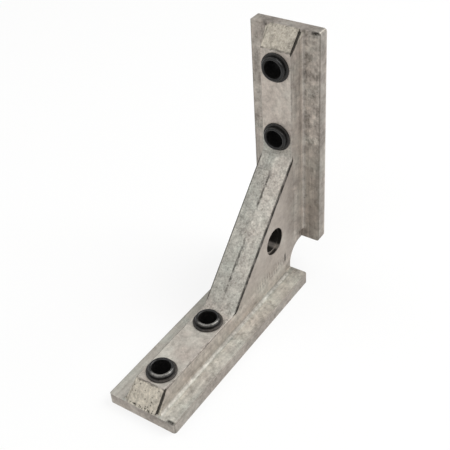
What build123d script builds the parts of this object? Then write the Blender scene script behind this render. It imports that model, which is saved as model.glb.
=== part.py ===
from build123d import *
from math import radians, sqrt, tan
import os

# Cast right-angle bracket for T-slotted framing, with a flanged bushing in each screw hole.
# Frame, in millimetres: the origin is where the two mounting faces would meet, at mid width.
# X runs out along the base leg, Z up along the upright leg, Y across the width.
# The base leg mounts on its lower face (z = 0), the upright leg on its back face (x = 0).
# Everything is drawn on the base leg and mirrored over the corner's bisector for the upright.

# Plates
leg_length = 139.7
leg_width = 38.1
plate_thickness = 6.0
corner_gap = 18.7
plate_corner_radius = 1.5
plate_edge_radius = 0.6

# Raised rail along the middle of each plate, with drafted sides and a sloped outer end
rail_height = 15.0
rail_top_width = 16.9
rail_draft = 9.5
rail_setback = 6.0
rail_foot_radius = 1.8
rail_edge_radius = 0.5
ramp_run = 8.7
ramp_strip_width = 16.0
ramp_step = 1.4

# Gusset that fills the corner between the rails, up to the sloping brace face
brace_clearance = 0.1
brace_overhang = 0.4
brace_thickness = 1.2
brace_crown = 0.8
brace_blend_radius = 4.0
relief_radius = 10.5
window_inset = 15.0
window_mouth_diameter = 14.9
window_bore_diameter = 12.7
window_step_depth = 1.9

# Screw holes, and the bushings pressed into them
holes_per_leg = 2
hole_end_distance = 17.5
hole_spacing = 38.1
bushing_bore_diameter = 9.0
bushing_wall = 1.0
bushing_recess = 0.5
flange_diameter = 15.0
flange_thickness = 1.0
flange_chamfer = 0.3
collar_diameter = 12.4
collar_rise = 3.2
collar_chamfer = 0.7

sleeve_diameter = bushing_bore_diameter + 2 * bushing_wall
hole_distances = [leg_length - hole_end_distance - i * hole_spacing for i in reversed(range(holes_per_leg))]
corner_bisector = Plane(origin=(0, 0, 0), z_dir=(1, 0, -1))
# The brace's plane is x + z = brace_reach. It turns through 45 degrees to meet each rail's top, and
# the blend there ends just short of the nearest flange.
brace_blend_length = brace_blend_radius * tan(radians(45 / 2))
brace_blend_end = hole_distances[0] - flange_diameter / 2 - brace_clearance
brace_foot = brace_blend_end - brace_blend_length - brace_crown * sqrt(2)
brace_reach = rail_height + brace_foot


def on_upright(shape):
    """The same shape on the upright leg."""
    return mirror(shape, about=corner_bisector)


def cross_section(*points):
    """A face in the YZ plane through (y, z) points."""
    return Plane.YZ * make_face(Polyline(*points, close=True))


def side_outline(*points):
    """A face in the XZ plane through (x, z) points."""
    return make_face(Polyline(*[(x, 0, z) for x, z in points], close=True))


def along_leg(face, start, end):
    """Push a cross-section along the base leg from x = start to x = end."""
    return extrude(Pos(start, 0, 0) * face, end - start, dir=(1, 0, 0))


def across(face, width):
    """Push a side outline out to both sides of mid width."""
    return extrude(face, width / 2, dir=(0, 1, 0), both=True)


def rail_half_width(height):
    """Half the rail's width at a height above the mounting face, from its draft."""
    return rail_top_width / 2 + (rail_height - height) * tan(radians(rail_draft))


def leg_section(with_rail):
    """The plate's cross-section, with the rail standing on it and its corners rounded."""
    half = leg_width / 2
    top = plate_thickness
    foot = rail_half_width(top)
    peak = rail_top_width / 2
    rail = [(foot, top), (peak, rail_height), (-peak, rail_height), (-foot, top)] if with_rail else []
    face = cross_section((-half, 0), (half, 0), (half, top), *rail, (-half, top))
    corners = face.vertices()
    rims = [v for v in corners if v.Z > 0 and abs(v.Y) > foot + rail_foot_radius]
    face = fillet(rims, plate_edge_radius)
    if with_rail:
        face = fillet([v for v in face.vertices() if v.Z > rail_height - 0.01], rail_edge_radius)
        feet = [v for v in face.vertices() if abs(v.Z - top) < 0.01 and abs(abs(v.Y) - foot) < 0.01]
        face = fillet(feet, rail_foot_radius)
    return face


def above_ramp(setback, width):
    """What is cleared above the ramp, over a middle width, moved back along the leg by setback."""
    foot = leg_length - setback
    head = foot - ramp_run
    beyond = leg_length + ramp_run
    sky = 2 * rail_height
    outline = side_outline((head, rail_height), (foot, plate_thickness), (beyond, plate_thickness),
                           (beyond, sky), (head, sky))
    return across(outline, width)


def leg():
    """The base leg: plate and rail, with rounded plate corners and the ramp at the outer end."""
    rail_start = corner_gap + rail_setback
    solid = along_leg(leg_section(with_rail=False), corner_gap, rail_start)
    solid += along_leg(leg_section(with_rail=True), rail_start, leg_length)
    middle = (corner_gap + leg_length) / 2
    plan = RectangleRounded(leg_length - corner_gap, leg_width, plate_corner_radius)
    solid &= extrude(Pos(middle, 0, 0) * plan, rail_height)
    # The ramp's middle strip stands proud of the rest of it by ramp_step.
    beside_strip = above_ramp(ramp_step, leg_width) - above_ramp(ramp_step, ramp_strip_width)
    return solid - above_ramp(0, leg_width) - beside_strip


def relief_outline():
    """The square of the corner that stays open, with its inner corner rounded."""
    far = corner_gap
    open_side = side_outline((-far, -far), (far, -far), (far, far), (-far, far))
    inner_corner = open_side.vertices().sort_by(Axis.X)[-2:].sort_by(Axis.Z)[-1]
    return fillet(inner_corner, relief_radius)


def gusset():
    """The slab between the rails, with the relief at its corner and the stepped window."""
    reach = brace_reach - brace_thickness
    width = 2 * rail_half_width(rail_height - rail_edge_radius)  # takes in the rails' rounded edges
    slab = across(side_outline((0, 0), (reach, 0), (0, reach)) - relief_outline(), width)
    window = Cylinder(window_bore_diameter / 2, leg_width, rotation=(90, 0, 0))
    mouth_start = width / 2 - window_step_depth
    mouth = Cylinder(window_mouth_diameter / 2, leg_width, rotation=(90, 0, 0))
    for side in (-1, 1):
        window += Pos(0, side * (mouth_start + leg_width / 2), 0) * mouth
    window_offset = brace_reach / 2 - window_inset / sqrt(2)
    return slab - Pos(window_offset, 0, window_offset) * window


def brace_plan():
    """Plan of the brace, with its lips drawn in to the rail's flat top where it blends into the rail."""
    lip = rail_top_width / 2 + brace_overhang
    flat = rail_top_width / 2 - rail_edge_radius
    blend_start = brace_foot - brace_blend_length / sqrt(2)
    right = [(0, lip), (blend_start, lip), (brace_blend_end, flat), (hole_distances[0], flat)]
    left = [(x, -y) for x, y in reversed(right)]
    return extrude(make_face(Polyline(*right, *left, close=True)), brace_reach)


def brace_face():
    """The sloping face over the gusset: crowned, with lips past both sides, and blended into the rails."""
    half = rail_top_width / 2 + brace_overhang
    profile = make_face(Polyline((-half, -brace_thickness), (half, -brace_thickness), (half, 0),
                                 (0, brace_crown), (-half, 0), close=True))
    middle = Plane(origin=(brace_reach / 2, 0, brace_reach / 2), x_dir=(0, -1, 0), z_dir=(-1, 0, 1))
    strip = extrude(middle * profile, brace_reach, dir=middle.z_dir, both=True)
    start = rail_height - brace_thickness
    low_corner = (Align.MIN, Align.CENTER, Align.MIN)
    strip &= Pos(start, 0, start) * Box(brace_reach, leg_width, brace_reach, align=low_corner)
    # A tongue in each rail's top carries the blend. It begins inside the brace's own foot.
    tongue_start = brace_foot - brace_thickness / 5
    tongue_length = hole_distances[0] - tongue_start
    tongue = Pos(tongue_start, 0, start) * Box(tongue_length, 2 * half, brace_thickness, align=low_corner)
    solid = strip + tongue + on_upright(tongue)
    creases = foot_creases(solid, up=Axis.Z, out=Axis.X) + foot_creases(solid, up=Axis.X, out=Axis.Z)
    return fillet(creases, brace_blend_radius) & brace_plan() & on_upright(brace_plan())


def foot_creases(brace, up, out):
    """The edges where the brace's crowned face meets one rail's top."""
    level = brace.edges().filter_by_position(up, rail_height - 0.01, rail_height + 0.01)
    return level.filter_by_position(out, brace_foot, brace_foot + brace_crown * sqrt(2))


def screw_holes():
    hole = Cylinder(sleeve_diameter / 2, 2 * rail_height, align=(Align.CENTER, Align.CENTER, Align.CENTER))
    return Part() + [Pos(x, 0, rail_height / 2) * hole for x in hole_distances]


def casting():
    base = leg()
    holes = screw_holes()
    solid = base + on_upright(base) + gusset() + brace_face()
    return solid - holes - on_upright(holes)


def bushing():
    """One bushing, standing in its hole at the origin: sleeve below, flange and collar above."""
    bore = bushing_bore_diameter / 2
    sleeve = sleeve_diameter / 2
    collar = collar_diameter / 2
    flange = flange_diameter / 2
    flange_top = rail_height + flange_thickness
    outline = Plane.XZ * make_face(Polyline(
        (bore, bushing_recess), (sleeve, bushing_recess), (sleeve, rail_height), (flange, rail_height),
        (flange, flange_top), (collar, flange_top), (collar, rail_height + collar_rise),
        (bore, rail_height + collar_rise), close=True))
    rim = [v for v in outline.vertices() if abs(v.X - collar) < 0.01 and v.Z > flange_top + 0.01]
    outline = chamfer(rim, collar_chamfer)
    edge = [v for v in outline.vertices() if abs(v.X - flange) < 0.01 and v.Z > rail_height + 0.01]
    return revolve(chamfer(edge, flange_chamfer), Axis.Z)


if __name__ == "__main__":
    os.makedirs("parts", exist_ok=True)
    export_step(casting(), "parts/casting.step")
    for number, distance in enumerate(hole_distances, start=1):
        fitted = Pos(distance, 0, 0) * bushing()
        export_step(fitted, f"parts/base_bushing_{number}.step")
        export_step(on_upright(fitted), f"parts/upright_bushing_{number}.step")
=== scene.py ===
import bpy
import bmesh
from math import cos, pi, radians, sin
from mathutils import Matrix, Vector

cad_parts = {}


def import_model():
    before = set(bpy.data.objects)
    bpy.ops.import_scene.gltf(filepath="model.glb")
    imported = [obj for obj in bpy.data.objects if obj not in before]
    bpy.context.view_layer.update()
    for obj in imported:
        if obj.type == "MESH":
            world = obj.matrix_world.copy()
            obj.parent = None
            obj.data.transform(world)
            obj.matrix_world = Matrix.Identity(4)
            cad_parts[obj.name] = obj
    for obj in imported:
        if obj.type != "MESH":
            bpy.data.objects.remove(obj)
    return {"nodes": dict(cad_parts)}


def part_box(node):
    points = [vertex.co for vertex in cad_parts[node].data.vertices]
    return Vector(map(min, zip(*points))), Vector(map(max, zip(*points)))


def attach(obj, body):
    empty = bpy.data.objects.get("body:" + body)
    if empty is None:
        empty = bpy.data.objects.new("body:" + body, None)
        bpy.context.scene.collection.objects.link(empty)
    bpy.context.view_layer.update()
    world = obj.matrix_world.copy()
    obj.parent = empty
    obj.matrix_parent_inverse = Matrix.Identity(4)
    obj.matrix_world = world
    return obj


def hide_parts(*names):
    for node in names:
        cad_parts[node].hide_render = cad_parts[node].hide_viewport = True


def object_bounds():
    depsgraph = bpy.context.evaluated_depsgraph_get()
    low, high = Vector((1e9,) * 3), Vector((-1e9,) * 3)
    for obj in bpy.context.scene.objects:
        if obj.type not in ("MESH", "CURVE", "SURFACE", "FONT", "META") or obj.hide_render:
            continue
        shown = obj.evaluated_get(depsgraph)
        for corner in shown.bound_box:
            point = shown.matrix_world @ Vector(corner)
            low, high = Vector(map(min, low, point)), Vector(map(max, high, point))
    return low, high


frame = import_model()
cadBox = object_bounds()
mm = 0.001

legLength = cadBox[1].x
halfWidth = (cadBox[1].y - cadBox[0].y) / 2
print("frame loaded:", len(frame["nodes"]), "nodes, leg", round(legLength / mm, 1), "mm")


def newMaterial(name):
    material = bpy.data.materials.new(name)
    material.use_nodes = True
    tree = material.node_tree
    return material, tree, tree.nodes["Principled BSDF"]


def plug(tree, socket, value):
    if isinstance(value, bpy.types.NodeSocket):
        tree.links.new(value, socket)
    else:
        socket.default_value = value


def maths(tree, operation, *values, clamp=False):
    node = tree.nodes.new("ShaderNodeMath")
    node.operation = operation
    node.use_clamp = clamp
    for socket, value in zip(node.inputs, values):
        plug(tree, socket, value)
    return node.outputs[0]


def plus(tree, first, second, clamp=False):
    return maths(tree, "ADD", first, second, clamp=clamp)


def minus(tree, first, second, clamp=False):
    return maths(tree, "SUBTRACT", first, second, clamp=clamp)


def times(tree, first, *others):
    value = first
    for other in others:
        value = maths(tree, "MULTIPLY", value, other)
    return value


def most(tree, first, *others):
    value = first
    for other in others:
        value = maths(tree, "MAXIMUM", value, other)
    return value


def lessOn(tree, mask, share):
    return minus(tree, 1.0, times(tree, mask, share))


def distance(tree, first, second):
    squares = plus(tree, times(tree, first, first), times(tree, second, second))
    return maths(tree, "SQRT", squares)


# a smooth step from start at low to end at high, whichever of these two places is the greater
def ramp(tree, value, low, high, start=0.0, end=1.0):
    if low > high:
        low, high, start, end = high, low, end, start
    node = tree.nodes.new("ShaderNodeMapRange")
    node.interpolation_type = "SMOOTHSTEP"
    plug(tree, node.inputs["Value"], value)
    plug(tree, node.inputs["From Min"], low)
    plug(tree, node.inputs["From Max"], high)
    plug(tree, node.inputs["To Min"], start)
    plug(tree, node.inputs["To Max"], end)
    return node.outputs["Result"]


# soft-edged masks: beyond a place, before it, and in a band round it
def past(tree, value, place, soft):
    return ramp(tree, value, place - soft, place + soft)


def before(tree, value, place, soft):
    return ramp(tree, value, place + soft, place - soft)


def within(tree, value, middle, reach, soft):
    return before(tree, maths(tree, "ABSOLUTE", minus(tree, value, middle)), reach, soft)


def mixColour(tree, amount, first, second):
    node = tree.nodes.new("ShaderNodeMix")
    node.data_type = "RGBA"
    plug(tree, node.inputs[0], amount)
    plug(tree, node.inputs[6], first)
    plug(tree, node.inputs[7], second)
    return node.outputs[2]


def toned(tree, colour, tone):
    node = tree.nodes.new("ShaderNodeVectorMath")
    node.operation = "SCALE"
    plug(tree, node.inputs[0], colour)
    plug(tree, node.inputs["Scale"], tone)
    return node.outputs[0]


def grain(tree, coords, size, detail=4.0, roughness=0.6, stretch=(1, 1, 1), shift=(0, 0, 0)):
    mapping = tree.nodes.new("ShaderNodeMapping")
    mapping.inputs["Scale"].default_value = stretch
    mapping.inputs["Location"].default_value = shift
    plug(tree, mapping.inputs["Vector"], coords)
    node = tree.nodes.new("ShaderNodeTexNoise")
    plug(tree, node.inputs["Vector"], mapping.outputs[0])
    node.inputs["Scale"].default_value = 1 / size
    node.inputs["Detail"].default_value = detail
    node.inputs["Roughness"].default_value = roughness
    return node.outputs["Fac"]


# noise is about 0.5 at its middle, so this swings to both sides of nothing
def swing(tree, noise, amount):
    return times(tree, minus(tree, noise, 0.5), amount)


def specks(tree, coords, spacing, radius, solid=0.55):
    node = tree.nodes.new("ShaderNodeTexVoronoi")
    plug(tree, node.inputs["Vector"], coords)
    node.inputs["Scale"].default_value = 1 / spacing
    return ramp(tree, node.outputs["Distance"], radius * solid, radius, 1.0, 0.0)


def bumps(tree, height, depth, strength, under=None):
    node = tree.nodes.new("ShaderNodeBump")
    node.inputs["Strength"].default_value = strength
    node.inputs["Distance"].default_value = depth
    plug(tree, node.inputs["Height"], height)
    if under is not None:
        plug(tree, node.inputs["Normal"], under)
    return node.outputs[0]


def objectPlace(tree):
    coords = tree.nodes.new("ShaderNodeTexCoord").outputs["Object"]
    split = tree.nodes.new("ShaderNodeSeparateXYZ")
    plug(tree, split.inputs[0], coords)
    return coords, split.outputs[0], split.outputs[1], split.outputs[2]


# An edge is (place, softness), a band is (middle, reach, softness), and a break-up is (noise from,
# noise to, share from, share to). Places are measured from the feature that they follow.
casting = {
    "warm": (0.498, 0.447, 0.400, 1),
    "neutral": (0.478, 0.474, 0.428, 1),
    "sandy": (0.500, 0.462, 0.388, 1),
    "stainAndShade": (0.130, 0.118, 0.096, 1),
    "shadeAndMarks": (0.026, 0.023, 0.019, 1),
    "metallic": 0.85,
    "roughness": (0.3, 0.7, 0.54, 0.70),

    "plateThickness": 6.0 * mm,
    "plateEdgeRound": 0.6 * mm,
    "railHeight": 15.0 * mm,
    "railHalfWidth": 8.45 * mm,
    "railFoot": 10.4 * mm,         # the fillet's middle, out from mid width
    "rampHead": 131.0 * mm,        # where the rail's top ends
    "stripHalfWidth": 8.0 * mm,
    "braceReach": 88.71 * mm,      # x + z on the brace's face
    "braceHalfWidth": 8.85 * mm,
    "braceFade": 84.0 * mm,        # where the brace's grain gives way to the rail's
    "windowPlace": 33.75 * mm,
    "windowRadius": 7.6 * mm,
    "cornerGap": 18.7 * mm,

    # how a face has to turn: to the side, and towards the brace's own direction
    "facing": {"side": (0.7, 0.2), "notSide": (0.375, 0.125), "stripWall": (0.65, 0.15),
               "windowStep": (0.75, 0.15), "rim": (0.865, 0.065)},
    "slopes": {"brace": (0.65, 0.05), "ramp": (0.9575, 0.0275), "flat": (0.45, 0.15),
               "railTop": (0.8, 0.05), "underLip": (0.4, 0.1)},

    # where the zones start and stop
    "limits": {
        "up": (0.0, 8 * mm), "right": (0.0, 2.5 * mm), "fade": (0.0, 5 * mm),
        "brace": (-3 * mm, 1 * mm), "rampEnd": (115 * mm, 5 * mm), "edge": (-0.35 * mm, 0.15 * mm),
        "webFoot": (0.0, 2 * mm), "webHead": (-0.5 * mm, 0.5 * mm), "railTop": (-0.25 * mm, 0.15 * mm),
        "end": (-0.15 * mm, 0.1 * mm), "endTop": (-0.2 * mm, 0.2 * mm), "endHigh": (-2.25 * mm, 2.25 * mm),
        "flatTop": (0.5 * mm, 0.3 * mm), "flatLeft": (0.0, 1 * mm), "flatLow": (72.5 * mm, 12.5 * mm),
        "flatRim": (-2.25 * mm, 0.75 * mm), "backRim": (1.1 * mm, 0.5 * mm), "crookIn": (4 * mm, 4 * mm),
        "shadeFrom": (13 * mm, 2 * mm), "shadeTo": (20 * mm, 6 * mm),
    },
    "crook": {"out": (0.0, 0.9 * mm, 0.5 * mm), "height": (0.6 * mm, 1.0 * mm, 0.4 * mm)},
    "crookHigh": {"out": (-0.5 * mm, 0.5 * mm, 0.25 * mm), "height": (1.3 * mm, 0.7 * mm, 0.3 * mm)},

    "grains": {
        "clouds": {"size": 14 * mm, "detail": 3},
        "patches": {"size": 4.5 * mm, "detail": 4, "shift": (3, 1, 2)},
        "streaks": {"size": 3.2 * mm, "detail": 4, "stretch": (1, 1, 0.6), "shift": (6, 3, 7)},
        "breaks": {"size": 3.5 * mm, "detail": 2, "shift": (1, 4, 9)},
        "lumps": {"size": 2.4 * mm, "detail": 3, "shift": (7, 5, 3)},
        "spots": {"size": 1.6 * mm, "detail": 4, "roughness": 0.65, "shift": (5, 7, 1)},
        "speckle": {"size": 1.0 * mm, "detail": 2, "roughness": 0.7, "shift": (4, 4, 8)},
        "sand": {"size": 0.55 * mm, "detail": 3, "roughness": 0.75, "shift": (2, 9, 4)},
        "outLines": {"size": 1.6 * mm, "detail": 2, "stretch": (0.06, 1, 1), "shift": (1, 8, 2)},
        "upLines": {"size": 1.6 * mm, "detail": 2, "stretch": (1, 1, 0.06), "shift": (2, 6, 5)},
    },
    # each grain's depth and strength as relief
    "relief": {"patches": (0.25 * mm, 0.35), "sand": (0.08 * mm, 0.55), "lumps": (0.2 * mm, 0.3),
               "speckle": (0.15 * mm, 0.5), "pits": (0.15 * mm, 0.5)},

    # how neutral the hue is, and how light the tone, by zone; the tones also paint in light and shade: faces
    # and legs lighter or darker for how the light falls, a painted highlight above the rails' feet, and
    # painted shade in their crease and by the brace
    "hue": {"all": 0.15, "brace": 0.60, "braceRight": -0.30, "flatBase": 0.55, "railTopBase": 0.25,
            "web": -0.15, "crookBase": 0.45},
    "hueSwing": 2.0,
    "rampSand": 0.8,
    "tone": {
        "all": 1.02, "railTop": 0.03, "railTopUp": 0.16, "web": -0.06, "shade": -0.13,
        "edge": -0.18, "edgeUp": -0.10, "backRim": 0.28, "bandBase": 0.02,
        "end": -0.05, "endUp": -0.26, "endHigh": -0.20, "endRight": -0.14,
        "flatBase": 0.10, "flatLeft": -0.14, "flatRim": -0.10,
        "braceLeft": -0.03, "braceLeftUp": -0.07, "braceRight": -0.06, "braceRightUp": 0.11,
        "ramp": 0.16, "rampUp": -0.24,
        "crook": -0.12, "crookUp": -0.10, "crookIn": -0.18, "crookHigh": 0.14, "crookHighUp": 0.30,
    },

    # how far each grain swings the tone
    "swings": {
        "clouds": {"all": 0.5},
        "patches": {"all": 0.8, "flat": 1.0, "flatLeft": -0.9, "flatBase": -0.6, "flatLow": -0.8,
                    "web": -0.4},
        "lumps": {"all": 0.5, "flat": 0.4, "flatLeft": -0.3, "flatBase": -0.35, "flatLow": -0.5,
                  "web": -0.3, "ramp": 0.6, "brace": 0.3},
        "speckle": {"all": 0.5, "flat": 0.2, "flatBase": -0.2, "flatLow": -0.3, "web": -0.3,
                    "ramp": 0.7, "rampUp": -0.4, "brace": 0.7},
        "lines": {"all": 0.10, "band": 0.6, "flat": 0.6, "flatLow": 0.4},
    },

    # stains over the tone, and painted shade in the plates' rounded rims
    "smudgeNoise": (0.50, 0.30),
    "smudges": {"all": 0.25, "flat": 0.38, "flatLeft": -0.35, "flatBase": -0.22, "flatLow": -0.25,
                "web": -0.20},
    "fleckNoise": (0.57, 0.72),
    "flecks": {"all": 0.18, "brace": 0.12, "ramp": 0.15, "web": -0.12},
    "pitSpacing": 1.9 * mm,
    "pitRadius": 0.26,
    "pits": {"all": 0.0, "ramp": 0.60, "rampUp": -0.35, "brace": 0.20},
    "rim": 0.5,

    # painted shade, and dark lines and marks
    "wander": 2.0 * mm,
    "underLip": {"from": (-3.35 * mm, 0.65 * mm), "to": (0.9 * mm, 0.3 * mm)},
    "onLip": {"from": (-0.55 * mm, 0.20 * mm), "to": (-11.5 * mm, 1.5 * mm), "share": 0.8},
    "lips": {"height": (-0.2 * mm, 0.6 * mm), "breakUp": (0.35, 0.55, 0.65, 1.0)},
    "onStrip": (0.15 * mm, 0.15 * mm),
    "besideStrip": {"floor": (0.45 * mm, 0.5 * mm, 0.25 * mm), "wall": (0.0, 0.15 * mm, 0.05 * mm),
                    "leftToRight": (-1 * mm, 1 * mm, 0.35, 0.85)},
    "rampHeadLine": {"line": (0.0, 0.45 * mm, 0.25 * mm), "height": (-0.75 * mm, 0.25 * mm),
                     "breakUp": (0.42, 0.58, 0.08, 0.60)},
    "rampFootLine": {"line": (0.5 * mm, 0.5 * mm, 0.3 * mm), "breakUp": (0.50, 0.58, 0.0, 0.9),
                     "lessUp": 0.8},
    "railEdge": {"line": (-0.1 * mm, 0.35 * mm, 0.2 * mm), "height": (-0.7 * mm, 0.2 * mm),
                 "start": (3 * mm, 3 * mm), "breakUp": (0.90, 1.15, 0.08, 0.60), "lessUp": 0.5},
    "plateCorner": {"along": (-0.7 * mm, 0.9 * mm, 0.6 * mm), "across": (16.6 * mm, 2.1 * mm, 1.2 * mm),
                    "height": (-0.45 * mm, 0.45 * mm), "breakUp": (0.38, 0.52, 0.45, 0.95)},
    "reliefTick": {"along": (5.2 * mm, 0.7 * mm, 0.4 * mm), "height": (1 * mm, 2.5 * mm, 1.2 * mm),
                   "leftToRight": (0.0, 1 * mm, 0.0, 0.85)},
    "chatter": {"spacing": 2.3 * mm, "wave": (0.5, 0.4), "along": (38 * mm, 15 * mm, 4 * mm),
                "height": (0.5 * mm, 2.2 * mm, 1.5 * mm), "breakUp": (0.40, 0.60, 0.05, 0.45),
                "right": (0.5 * mm, 0.5 * mm)},
    "partingLine": {"lengths": ((29.5 * mm, 6.5 * mm, 2 * mm), (58 * mm, 10 * mm, 2.5 * mm)),
                    "line": (0.0, 0.55 * mm, 0.35 * mm), "breakUp": (0.38, 0.54, 0.15, 0.75)},
    "windowBore": {"wall": (-0.05 * mm, 0.05 * mm), "depth": (-0.2 * mm, 0.1 * mm), "dark": 0.97,
                   "step": (-0.5 * mm, 2.5 * mm), "stepPale": 0.8, "stripPale": 0.7,
                   "strip": (2.5 * mm, 1.8 * mm, 1.0 * mm), "stripTop": (-0.5 * mm, 0.5 * mm)},
}


def castMeasures(tree, look):
    coords, x, y, z = objectPlace(tree)
    normals = tree.nodes.new("ShaderNodeNewGeometry").outputs["Normal"]
    facing = tree.nodes.new("ShaderNodeSeparateXYZ")
    plug(tree, facing.inputs[0], normals)
    slant = tree.nodes.new("ShaderNodeVectorMath")
    slant.operation = "DOT_PRODUCT"
    plug(tree, slant.inputs[0], normals)
    slant.inputs[1].default_value = (cos(pi / 4), 0, cos(pi / 4))

    out = maths(tree, "ABSOLUTE", y)
    along = plus(tree, x, z)
    lower = maths(tree, "MINIMUM", x, z)      # height above whichever leg is nearer
    further = maths(tree, "MAXIMUM", x, z)    # distance out along that leg
    return {
        "coords": coords, "x": x, "y": y, "z": z, "along": along, "further": further,
        "slope": slant.outputs["Value"],      # 1 on the brace and 0.71 on the legs' outer faces
        "sideways": maths(tree, "ABSOLUTE", facing.outputs[1]),
        "fromPlate": minus(tree, lower, look["plateThickness"]),
        "fromRailTop": minus(tree, lower, look["railHeight"]),
        "fromEnd": minus(tree, further, legLength),
        "fromFade": minus(tree, further, look["braceFade"]),
        "fromEdge": minus(tree, out, halfWidth),
        "fromStrip": minus(tree, out, look["stripHalfWidth"]),
        "fromRailEdge": minus(tree, out, look["railHalfWidth"]),
        "fromFoot": minus(tree, out, look["railFoot"]),
        "fromLip": minus(tree, out, look["braceHalfWidth"]),
        "fromBrace": minus(tree, along, look["braceReach"]),
    }


def castFaces(tree, look, at):
    facing, slopes, limits = look["facing"], look["slopes"], look["limits"]
    side = past(tree, at["sideways"], *facing["side"])
    notSide = before(tree, at["sideways"], *facing["notSide"])
    rampEnd = past(tree, at["along"], *limits["rampEnd"])
    web = times(tree, side, past(tree, at["fromRailTop"], *limits["webFoot"]),
                before(tree, at["fromBrace"], *limits["webHead"]))
    edge = times(tree, side, past(tree, at["fromEdge"], *limits["edge"]))
    end = times(tree, past(tree, at["fromEnd"], *limits["end"]),
                before(tree, at["fromPlate"], *limits["endTop"]))
    plateTop = times(tree, notSide, past(tree, at["slope"], *slopes["flat"]),
                     before(tree, at["fromPlate"], *limits["flatTop"]))
    faces = {
        "up": past(tree, minus(tree, at["z"], at["x"]), *limits["up"]),
        "brace": times(tree, notSide, past(tree, at["slope"], *slopes["brace"]),
                       past(tree, at["fromBrace"], *limits["brace"]),
                       before(tree, at["fromFade"], *limits["fade"])),
        "railTop": times(tree, notSide, before(tree, at["slope"], *slopes["railTop"]),
                         past(tree, at["fromRailTop"], *limits["railTop"]),
                         past(tree, at["fromFade"], *limits["fade"])),
        "ramp": times(tree, past(tree, at["slope"], *slopes["ramp"]), rampEnd),
        "rampEnd": rampEnd, "side": side, "web": web, "edge": edge, "end": end,
        "flat": minus(tree, plateTop, end, clamp=True),
        "band": minus(tree, minus(tree, side, web), edge, clamp=True),    # the rails' sides
    }
    # the crease along each rail's foot is toned as painted shade (crook), and a band just above it as a
    # painted highlight (crookHigh)
    for name in ("crook", "crookHigh"):       # along the rails' feet
        faces[name] = times(tree, within(tree, at["fromFoot"], *look[name]["out"]),
                            within(tree, at["fromPlate"], *look[name]["height"]))
    return faces


# the faces, and their parts: Up and Base are legs, and Right is the side towards +Y
def castZones(tree, look, at):
    zones = castFaces(tree, look, at)
    limits = look["limits"]
    onBase = minus(tree, 1.0, zones["up"])
    fromRight = minus(tree, at["y"], halfWidth)
    zones["braceRight"] = times(tree, zones["brace"], past(tree, at["y"], *limits["right"]))
    zones["braceLeft"] = times(tree, zones["brace"], before(tree, at["y"], *limits["right"]))
    for name in ("braceRight", "braceLeft", "ramp", "railTop", "flat", "side", "edge", "end",
                 "crook", "crookHigh"):
        zones[name + "Up"] = times(tree, zones[name], zones["up"])
    for name in ("railTop", "flat", "band", "end", "crook"):
        zones[name + "Base"] = times(tree, zones[name], onBase)
    zones["flatLeft"] = times(tree, zones["flat"], before(tree, at["y"], *limits["flatLeft"]))
    zones["flatLow"] = times(tree, zones["flatUp"], before(tree, at["z"], *limits["flatLow"]))
    zones["flatRim"] = times(tree, zones["flat"], past(tree, fromRight, *limits["flatRim"]))
    zones["endHigh"] = times(tree, zones["endBase"], past(tree, at["fromPlate"], *limits["endHigh"]))
    zones["endRight"] = times(tree, zones["endBase"], ramp(tree, at["y"], 0.0, halfWidth))
    zones["backRim"] = times(tree, zones["edgeUp"], before(tree, at["x"], *limits["backRim"]))
    zones["crookIn"] = times(tree, zones["crookBase"], before(tree, at["fromFade"], *limits["crookIn"]))
    # the gusset's foot by the upright leg, in the brace's shade
    zones["shade"] = times(tree, zones["sideUp"], past(tree, at["x"], *limits["shadeFrom"]),
                           before(tree, at["x"], *limits["shadeTo"]))
    return zones


def castNoise(tree, look, at, zones):
    noise = {}
    for name, settings in look["grains"].items():
        noise[name] = grain(tree, at["coords"], **settings)
    noise["lines"] = mixColour(tree, zones["up"], noise["outLines"], noise["upLines"])
    return noise


def zoned(tree, zones, amounts):
    value = amounts["all"]
    for name, amount in amounts.items():
        if name != "all":
            value = plus(tree, value, times(tree, zones[name], amount))
    return value


# painted shade under and on the brace's lips
def lipShade(tree, look, at, zones, noise, wander):
    under, on, whole = look["underLip"], look["onLip"], look["lips"]
    underLip = times(tree, past(tree, plus(tree, at["fromBrace"], wander), *under["from"]),
                     before(tree, at["fromBrace"], *under["to"]),
                     before(tree, at["slope"], *look["slopes"]["underLip"]), zones["side"])
    onLip = times(tree, zones["brace"], past(tree, at["fromLip"], *on["from"]),
                  before(tree, at["fromFade"], *on["to"]), on["share"])
    return times(tree, most(tree, underLip, onLip), past(tree, at["fromRailTop"], *whole["height"]),
                 ramp(tree, noise["patches"], *whole["breakUp"]))


# painted shade beside the ramps' middle strips, darker on the right
def stripShade(tree, look, at, zones):
    mark = look["besideStrip"]
    floorLine = times(tree, within(tree, at["fromStrip"], *mark["floor"]), zones["ramp"])
    wallLine = times(tree, within(tree, at["fromStrip"], *mark["wall"]),
                     past(tree, at["sideways"], *look["facing"]["stripWall"]), zones["rampEnd"])
    return times(tree, most(tree, floorLine, wallLine), ramp(tree, at["y"], *mark["leftToRight"]))


# dark lines across the ramps' heads and feet
def rampDarkLines(tree, look, at, zones, noise, wander):
    head, foot = look["rampHeadLine"], look["rampFootLine"]
    fromHead = minus(tree, plus(tree, at["further"], wander), look["rampHead"])
    headLine = times(tree, within(tree, fromHead, *head["line"]),
                     past(tree, at["fromRailTop"], *head["height"]),
                     ramp(tree, noise["patches"], *head["breakUp"]))
    footLine = times(tree, within(tree, at["fromPlate"], *foot["line"]), zones["ramp"],
                     lessOn(tree, zones["up"], foot["lessUp"]), ramp(tree, noise["spots"], *foot["breakUp"]))
    return times(tree, most(tree, headLine, footLine), before(tree, at["fromStrip"], *look["onStrip"]))


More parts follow.
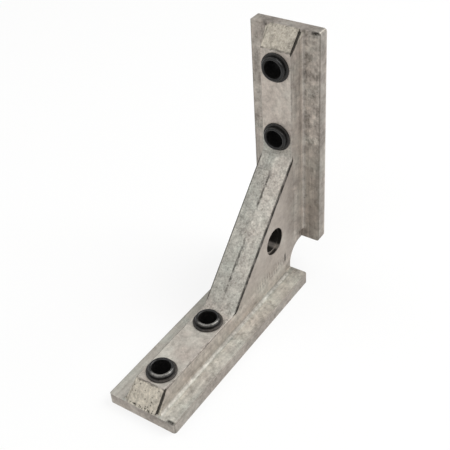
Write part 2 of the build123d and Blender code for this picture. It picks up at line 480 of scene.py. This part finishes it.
# a dark broken line along the rails' top edges
def railEdgeLine(tree, look, at, zones, noise):
    mark = look["railEdge"]
    twoNoises = plus(tree, noise["lumps"], noise["patches"])
    return times(tree, within(tree, at["fromRailEdge"], *mark["line"]),
                 past(tree, at["fromRailTop"], *mark["height"]), past(tree, at["fromFade"], *mark["start"]),
                 lessOn(tree, zones["up"], mark["lessUp"]), ramp(tree, twoNoises, *mark["breakUp"]))


# a dark mark at each plate's outer corner, on the right
def cornerMark(tree, look, at, noise):
    mark = look["plateCorner"]
    return times(tree, within(tree, at["fromEnd"], *mark["along"]), within(tree, at["y"], *mark["across"]),
                 past(tree, at["fromPlate"], *mark["height"]), ramp(tree, noise["spots"], *mark["breakUp"]))


# painted shade where the base leg's rail, the gusset and the relief meet, on the right
def reliefTick(tree, look, at, zones):
    mark = look["reliefTick"]
    fromGap = minus(tree, at["x"], look["cornerGap"])
    return times(tree, within(tree, fromGap, *mark["along"]),
                 within(tree, at["fromRailTop"], *mark["height"]), zones["side"],
                 ramp(tree, at["y"], *mark["leftToRight"]))


# low on the gusset, on the right
def chatterMarks(tree, look, at, zones, noise):
    mark = look["chatter"]
    waves = maths(tree, "SINE", times(tree, at["x"], 2 * pi / mark["spacing"]))
    aboveRail = minus(tree, at["z"], look["railHeight"])
    return times(tree, past(tree, waves, *mark["wave"]), within(tree, at["x"], *mark["along"]),
                 within(tree, aboveRail, *mark["height"]), ramp(tree, noise["spots"], *mark["breakUp"]),
                 zones["side"], past(tree, at["y"], *mark["right"]))


# two broken lengths along the brace's ridge
def partingLine(tree, look, at, zones, noise):
    mark = look["partingLine"]
    lengths = most(tree, *[within(tree, at["x"], *length) for length in mark["lengths"]])
    astray = plus(tree, at["y"], swing(tree, noise["patches"], look["wander"]))
    return times(tree, within(tree, astray, *mark["line"]), zones["brace"], lengths,
                 ramp(tree, noise["breaks"], *mark["breakUp"]))


# the window's bore is dark, but for part of its step and a strip of its lower wall
def windowShade(tree, look, at):
    mark = look["windowBore"]
    acrossX = minus(tree, at["x"], look["windowPlace"])
    acrossZ = minus(tree, at["z"], look["windowPlace"])
    fromWall = minus(tree, distance(tree, acrossX, acrossZ), look["windowRadius"])
    inBore = times(tree, before(tree, fromWall, *mark["wall"]),
                   before(tree, at["fromRailEdge"], *mark["depth"]))
    step = times(tree, past(tree, at["sideways"], *look["facing"]["windowStep"]),
                 before(tree, minus(tree, acrossZ, acrossX), *mark["step"]))
    strip = times(tree, within(tree, minus(tree, acrossX, acrossZ), *mark["strip"]),
                  before(tree, acrossZ, *mark["stripTop"]))
    pale = most(tree, times(tree, strip, mark["stripPale"]), times(tree, step, mark["stepPale"]))
    return times(tree, inBore, minus(tree, mark["dark"], pale))


# painted shade under the brace's lips, beside the ramps' strips, at the relief's tick and in the window's
# bore, with dark lines and marks: the ramps' head and foot lines, the rails' edge lines, the plates' corner
# marks, chatter marks and the parting line
def castShadeAndMarks(tree, look, at, zones, noise):
    wander = swing(tree, noise["lumps"], look["wander"])
    return most(tree, lipShade(tree, look, at, zones, noise, wander),
                stripShade(tree, look, at, zones), rampDarkLines(tree, look, at, zones, noise, wander),
                railEdgeLine(tree, look, at, zones, noise), cornerMark(tree, look, at, noise),
                reliefTick(tree, look, at, zones), chatterMarks(tree, look, at, zones, noise),
                partingLine(tree, look, at, zones, noise), windowShade(tree, look, at))


def castHue(tree, look, zones, noise):
    clouds = swing(tree, noise["clouds"], look["hueSwing"])
    neutral = plus(tree, zoned(tree, zones, look["hue"]), clouds, clamp=True)
    colour = mixColour(tree, neutral, look["warm"], look["neutral"])
    return mixColour(tree, times(tree, zones["ramp"], look["rampSand"]), colour, look["sandy"])


# the tone by zone, which carries painted light and shade, with each grain's swing on top
def castTone(tree, look, zones, noise):
    tone = zoned(tree, zones, look["tone"])
    for name, amounts in look["swings"].items():
        tone = plus(tree, tone, swing(tree, noise[name], zoned(tree, zones, amounts)))
    return tone


# painted shade: a dark line in the plates' rounded rims
def castRimShade(tree, look, at):
    rounding = look["plateEdgeRound"]
    return times(tree, past(tree, at["fromEdge"], -rounding, rounding * 0.3),
                 before(tree, at["sideways"], *look["facing"]["rim"]), look["rim"])


def castColour(tree, look, at, zones, noise, pits):
    colour = toned(tree, castHue(tree, look, zones, noise), castTone(tree, look, zones, noise))
    smudges = ramp(tree, noise["streaks"], *look["smudgeNoise"])
    flecks = ramp(tree, noise["spots"], *look["fleckNoise"])
    marks = [
        ("stainAndShade", times(tree, smudges, zoned(tree, zones, look["smudges"]))),
        ("stainAndShade", times(tree, flecks, zoned(tree, zones, look["flecks"]))),
        ("shadeAndMarks", pits),
        ("stainAndShade", castRimShade(tree, look, at)),
        ("shadeAndMarks", castShadeAndMarks(tree, look, at, zones, noise)),
    ]
    for name, amount in marks:
        colour = mixColour(tree, amount, colour, look[name])
    return colour


# roughest on the brace and the ramps
def castRelief(tree, look, zones, noise, pits):
    rough = most(tree, zones["brace"], zones["ramp"])
    heights = {
        "patches": noise["patches"],
        "sand": noise["sand"],
        "lumps": times(tree, noise["lumps"], rough),
        "speckle": times(tree, noise["speckle"], rough),
        "pits": minus(tree, 0.0, pits),
    }
    relief = None
    for name, height in heights.items():
        relief = bumps(tree, height, *look["relief"][name], relief)
    return relief


def castMetal(look):
    material, tree, shader = newMaterial("castMetal")
    at = castMeasures(tree, look)
    zones = castZones(tree, look, at)
    noise = castNoise(tree, look, at, zones)
    pits = times(tree, specks(tree, at["coords"], look["pitSpacing"], look["pitRadius"]),
                 zoned(tree, zones, look["pits"]))
    plug(tree, shader.inputs["Base Color"], castColour(tree, look, at, zones, noise, pits))
    shader.inputs["Metallic"].default_value = look["metallic"]
    plug(tree, shader.inputs["Roughness"], ramp(tree, noise["spots"], *look["roughness"]))
    plug(tree, shader.inputs["Normal"], castRelief(tree, look, zones, noise, pits))
    return material


bushing = {
    "boreDiameter": 9.0 * mm,
    "sleeveDiameter": 11.0 * mm,
    "collarDiameter": 12.4 * mm,
    "flangeThickness": 1.0 * mm,
    "seatHeight": 15.0 * mm,
    "collarRound": 0.8 * mm,
    "boreRound": 0.85 * mm,
    "flangeRound": 0.4 * mm,
    "steps": 72,
    "roundSteps": 4,
    "sharpAngle": radians(35),

    "firstPlace": 84.1 * mm,       # out along each leg
    "spacing": 38.1 * mm,
    "onBase": (65 * mm, 5 * mm),
    "inBore": (0.1 * mm, 0.05 * mm),
    "onFlange": (0.15 * mm, 0.15 * mm),
    "onRight": (2 * mm, 2 * mm),

    "grainSize": 1.2 * mm,
    "grainRelief": (0.05 * mm, 0.4),
    "black": (0.003, 0.003, 0.003, 1),
    "dusty": (0.012, 0.011, 0.010, 1),
    "dustyNoise": (0.4, 0.7),
    "roughness": (0.3, 0.7, 0.26, 0.42),
    "boreRoughness": 0.3,
    "flangeRoughness": 0.12,
    "shine": 0.40,
    "boreShine": 0.12,

    "dust": (0.055, 0.047, 0.040, 1),
    "dustNoise": (0.35, 0.60, 0.4, 1.0),
    "flangeDust": 0.25,
    "rightDust": 0.75,

    # a painted highlight on one side of the base leg's collar bores, coloured as bright worn steel
    "glintColour": (0.34, 0.33, 0.31, 1),
    "glintNoise": (0.35, 0.60, 0.35, 1.0),
    "glintShare": 0.8,
    "glintTurn": radians(42),                       # to the right of outwards
    "glintFrom": (3.0 * mm, 1.5 * mm),              # from the bushing's middle, that way
    "glintBand": (0.8 * mm, 0.75 * mm, 0.4 * mm),   # out from the bore
    "glintHeight": (17.2 * mm, 0.3 * mm),
}


# how far out along its leg a point lies from the middle of its bushing
def fromBushing(tree, look, x, z):
    node = tree.nodes.new("ShaderNodeMath")
    node.operation = "WRAP"
    plug(tree, node.inputs[0], minus(tree, maths(tree, "MAXIMUM", x, z), look["firstPlace"]))
    node.inputs[1].default_value = look["spacing"] / 2
    node.inputs[2].default_value = -look["spacing"] / 2
    return node.outputs[0]


def blackOxide(look):
    material, tree, shader = newMaterial("blackOxide")
    coords, x, y, z = objectPlace(tree)
    mottle = grain(tree, coords, look["grainSize"])
    onBase = past(tree, x, *look["onBase"])
    fromMiddle = fromBushing(tree, look, x, z)
    radius = distance(tree, fromMiddle, y)
    fromBore = minus(tree, radius, look["boreDiameter"] / 2)
    fromCollar = minus(tree, radius, look["collarDiameter"] / 2)
    inBore = before(tree, fromBore, *look["inBore"])
    onFlange = times(tree, past(tree, fromCollar, *look["onFlange"]), ramp(tree, mottle, *look["dustNoise"]))
    colour = mixColour(tree, ramp(tree, mottle, *look["dustyNoise"]), look["black"], look["dusty"])

    # the flanges are dusty, most on the right of the base leg's
    onRight = times(tree, onBase, past(tree, y, *look["onRight"]), look["rightDust"])
    dust = times(tree, onFlange, plus(tree, look["flangeDust"], onRight))
    colour = mixColour(tree, dust, colour, look["dust"])

    # painted highlight: the base leg's collars are bright metallic steel on one side of the bore, as if worn
    turn = look["glintTurn"]
    thatWay = plus(tree, times(tree, fromMiddle, cos(turn)), times(tree, y, sin(turn)))
    paintedGlint = times(tree, within(tree, fromBore, *look["glintBand"]), past(tree, thatWay, *look["glintFrom"]),
                 past(tree, z, *look["glintHeight"]), onBase, ramp(tree, mottle, *look["glintNoise"]),
                 look["glintShare"])
    colour = mixColour(tree, paintedGlint, colour, look["glintColour"])

    shine = ramp(tree, inBore, 0.0, 1.0, look["shine"], look["boreShine"])
    roughness = ramp(tree, mottle, *look["roughness"])
    roughness = plus(tree, roughness, times(tree, inBore, look["boreRoughness"]))
    roughness = plus(tree, roughness, times(tree, onFlange, look["flangeRoughness"]))
    plug(tree, shader.inputs["Base Color"], colour)
    plug(tree, shader.inputs["Metallic"], paintedGlint)
    plug(tree, shader.inputs["Specular IOR Level"], shine)
    plug(tree, shader.inputs["Roughness"], roughness)
    plug(tree, shader.inputs["Normal"], bumps(tree, mottle, *look["grainRelief"]))
    return material


def dress(nodeName, material):
    node = frame["nodes"][nodeName]
    node.data.materials.clear()
    node.data.materials.append(material)


def ringEdges(shape, radius, height, near=0.01 * mm):
    return [edge for edge in shape.edges if all(
        abs(Vector(corner.co.xy).length - radius) < near and abs(corner.co.z - height) < near
        for corner in edge.verts)]


def turnBushing(look, low, high):
    middle = (low + high) / 2
    flange = (high.x - low.x) / 2
    bore, sleeve = look["boreDiameter"] / 2, look["sleeveDiameter"] / 2
    collar = look["collarDiameter"] / 2
    seat = look["seatHeight"]
    flangeTop = seat + look["flangeThickness"]
    outline = [(bore, low.z), (sleeve, low.z), (sleeve, seat), (flange, seat), (flange, flangeTop),
               (collar, flangeTop), (collar, high.z), (bore, high.z)]
    shape = bmesh.new()
    corners = [shape.verts.new((radius, 0, height)) for radius, height in outline]
    sides = [shape.edges.new((corners[i - 1], corners[i])) for i in range(len(corners))]
    bmesh.ops.spin(shape, geom=corners + sides, axis=(0, 0, 1), cent=(0, 0, 0), angle=2 * pi,
                   steps=look["steps"], use_merge=True)
    bmesh.ops.recalc_face_normals(shape, faces=shape.faces)
    for radius, height, size in ((collar, high.z, look["collarRound"]), (bore, high.z, look["boreRound"]),
                                 (flange, flangeTop, look["flangeRound"])):
        bmesh.ops.bevel(shape, geom=ringEdges(shape, radius, height), offset=size, offset_type="OFFSET",
                        segments=look["roundSteps"], profile=0.5, affect="EDGES", material=-1)
    bmesh.ops.translate(shape, verts=shape.verts, vec=(middle.x, middle.y, 0))
    return shape


def makeBushing(name, nodeName, look, material):
    low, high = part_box(nodeName)
    onUpright = nodeName.startswith("upright")
    if onUpright:   # the upright leg is the base leg with x and z exchanged
        low, high = Vector((low.z, low.y, low.x)), Vector((high.z, high.y, high.x))
    shape = turnBushing(look, low, high)
    if onUpright:
        for corner in shape.verts:
            corner.co = (corner.co.z, corner.co.y, corner.co.x)
        bmesh.ops.reverse_faces(shape, faces=shape.faces)
    for face in shape.faces:
        face.smooth = True
    for edge in shape.edges:
        edge.smooth = edge.calc_face_angle(0) < look["sharpAngle"]
    mesh = bpy.data.meshes.new(name)
    shape.to_mesh(mesh)
    shape.free()
    piece = bpy.data.objects.new(name, mesh)
    bpy.context.collection.objects.link(piece)
    mesh.materials.append(material)
    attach(piece, "root")
    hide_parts(nodeName)


castMaterial = castMetal(casting)
blackMaterial = blackOxide(bushing)
dress("casting", castMaterial)
for leg in ("base", "upright"):
    for number in (1, 2):
        makeBushing(f"{leg}Bushing{number}", f"{leg}_bushing_{number}", bushing, blackMaterial)
print("materials and bushings done")

floorLook = {"colour": (0.80, 0.80, 0.79, 1), "side": 60.0, "roughness": 0.9, "shine": 0.1, "shown": 0.80}


# the floor shows white in the picture and in the metal, and keeps the shadow
def makeFloor(look):
    mesh = bpy.data.meshes.new("floor")
    shape = bmesh.new()
    bmesh.ops.create_grid(shape, x_segments=1, y_segments=1, size=look["side"] / 2)
    shape.to_mesh(mesh)
    shape.free()
    floor = bpy.data.objects.new("floor", mesh)
    bpy.context.collection.objects.link(floor)
    material, tree, shader = newMaterial("paleFloor")
    shader.inputs["Base Color"].default_value = look["colour"]
    shader.inputs["Roughness"].default_value = look["roughness"]
    shader.inputs["Specular IOR Level"].default_value = look["shine"]
    glow = tree.nodes.new("ShaderNodeEmission")
    glow.inputs["Color"].default_value = (1, 1, 1, 1)
    path = tree.nodes.new("ShaderNodeLightPath")
    seen = most(tree, path.outputs["Is Camera Ray"], path.outputs["Is Glossy Ray"],
                path.outputs["Is Transmission Ray"])
    blend = tree.nodes.new("ShaderNodeMixShader")
    plug(tree, blend.inputs[0], times(tree, seen, look["shown"]))
    plug(tree, blend.inputs[1], shader.outputs[0])
    plug(tree, blend.inputs[2], glow.outputs[0])
    plug(tree, tree.nodes["Material Output"].inputs["Surface"], blend.outputs[0])
    mesh.materials.append(material)


lights = {
    "aim": (0.05, 0, 0.05),
    "away": 1.1,
    "size": 0.8,
    "world": 0.45,
    "front": {"towards": (0.67, 0.00, 0.74), "watts": 3.5},
    "behind": {"towards": (-0.47, 0.47, 0.74), "watts": 9.8},
    "left": {"towards": (0.00, -0.67, 0.74), "watts": 2.7},
}


def makeLight(name, look):
    lamp = bpy.data.lights.new(name, "AREA")
    lamp.shape = "SQUARE"
    lamp.size = look["size"]
    lamp.energy = look[name]["watts"]
    holder = bpy.data.objects.new(name, lamp)
    direction = Vector(look[name]["towards"]).normalized()
    holder.location = Vector(look["aim"]) + direction * look["away"]
    holder.rotation_euler = direction.to_track_quat("Z", "Y").to_euler()
    bpy.context.collection.objects.link(holder)


def makeWorld(strength):
    world = bpy.data.worlds.new("studio")
    world.use_nodes = True
    background = world.node_tree.nodes["Background"]
    background.inputs["Color"].default_value = (1, 1, 1, 1)
    background.inputs["Strength"].default_value = strength
    bpy.context.scene.world = world


cameraLook = {"lens": 70.0, "azimuth": 36.24, "elevation": 37.63, "roll": -4.21, "away": 0.43353,
              "nearest": 0.01, "aim": (0.0529, -0.00813, 0.05116)}


def makeCamera(look):
    turn, lift = radians(look["azimuth"]), radians(look["elevation"])
    back = Vector((cos(turn) * cos(lift), sin(turn) * cos(lift), sin(lift)))
    right = Vector((-sin(turn), cos(turn), 0))
    up = back.cross(right)
    basis = Matrix((right, up, back)).transposed().to_4x4()
    place = Matrix.Translation(Vector(look["aim"]) + back * look["away"])
    lens = bpy.data.cameras.new("camera")
    lens.lens = look["lens"]
    lens.clip_start = look["nearest"]
    camera = bpy.data.objects.new("camera", lens)
    camera.matrix_world = place @ basis @ Matrix.Rotation(radians(look["roll"]), 4, "Z")
    bpy.context.collection.objects.link(camera)
    bpy.context.scene.camera = camera


makeFloor(floorLook)
for lightName in ("front", "behind", "left"):
    makeLight(lightName, lights)
makeWorld(lights["world"])
makeCamera(cameraLook)
bpy.context.scene.view_settings.view_transform = "Standard"
print("stage, lights and camera done")
